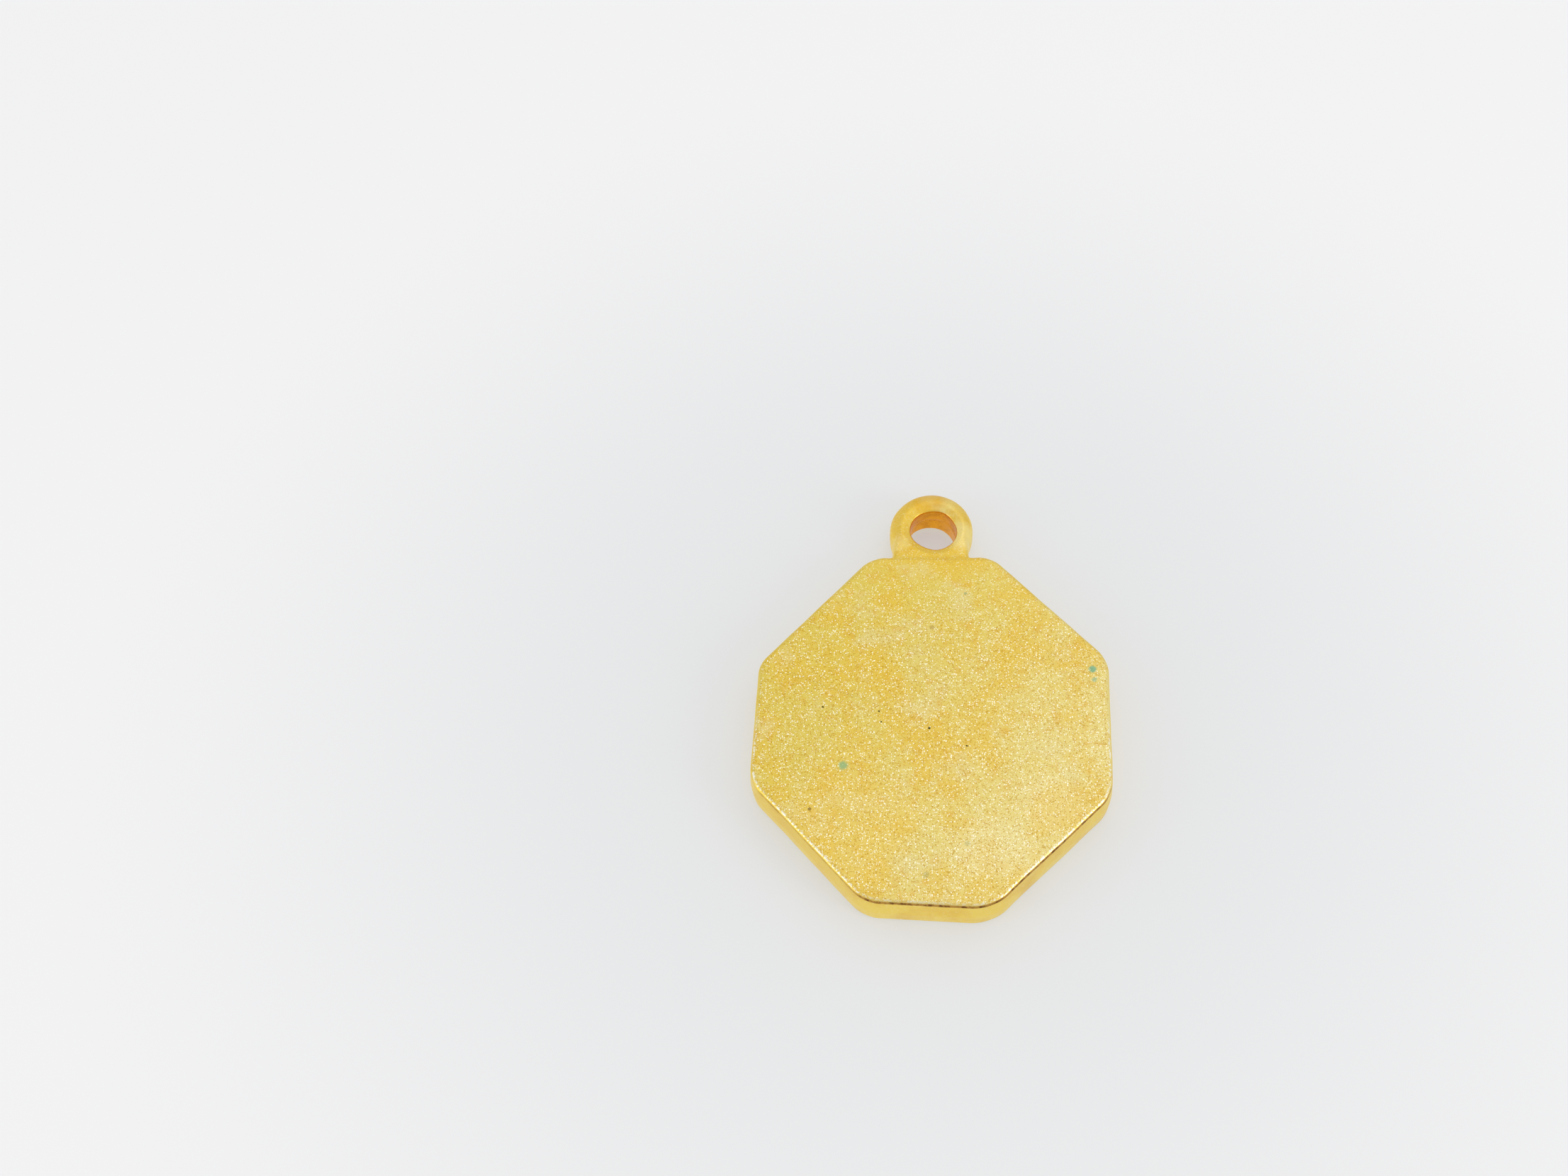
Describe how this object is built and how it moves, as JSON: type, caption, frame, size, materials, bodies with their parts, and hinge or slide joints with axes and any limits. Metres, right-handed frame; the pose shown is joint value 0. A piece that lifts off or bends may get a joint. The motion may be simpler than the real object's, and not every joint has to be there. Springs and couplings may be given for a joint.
{
  "type": "devotional charm",
  "caption": "Flat octagonal cast metal charm with a hanging eye, a raised front border and a low relief of a standing veiled figure on rays; plain back.",
  "frame": {"origin": "middle of the outline on the surface that the charm lies on, face down: the front of the raised border is at z = 0", "axes": "+Z out of the plain back, +Y from the plate towards the hanging eye, +X to the right as the back is seen with the eye at the top"},
  "size_m": [0.015, 0.0198, 0.0018],
  "materials": {
    "sandblasted_gold": "gold plating over a sandblasted casting, matt with fine glints",
    "satin_gold": "gold plating over a smooth cast wall, satin",
    "relief_gold": "gold plating over cast relief, satin with worn bright high points"
  },
  "bodies": {
    "root": {"back_plate": "sandblasted_gold", "border_rim": "satin_gold", "hanging_eye": "satin_gold", "glory_rays": "relief_gold", "halo": "relief_gold", "cloud_base": "relief_gold", "gown": "relief_gold", "sash": "relief_gold", "right_sleeve": "relief_gold", "left_sleeve": "relief_gold", "joined_hands": "relief_gold", "face": "relief_gold", "right_mantle": "relief_gold", "left_mantle": "relief_gold"}
  },
  "joints": []
}
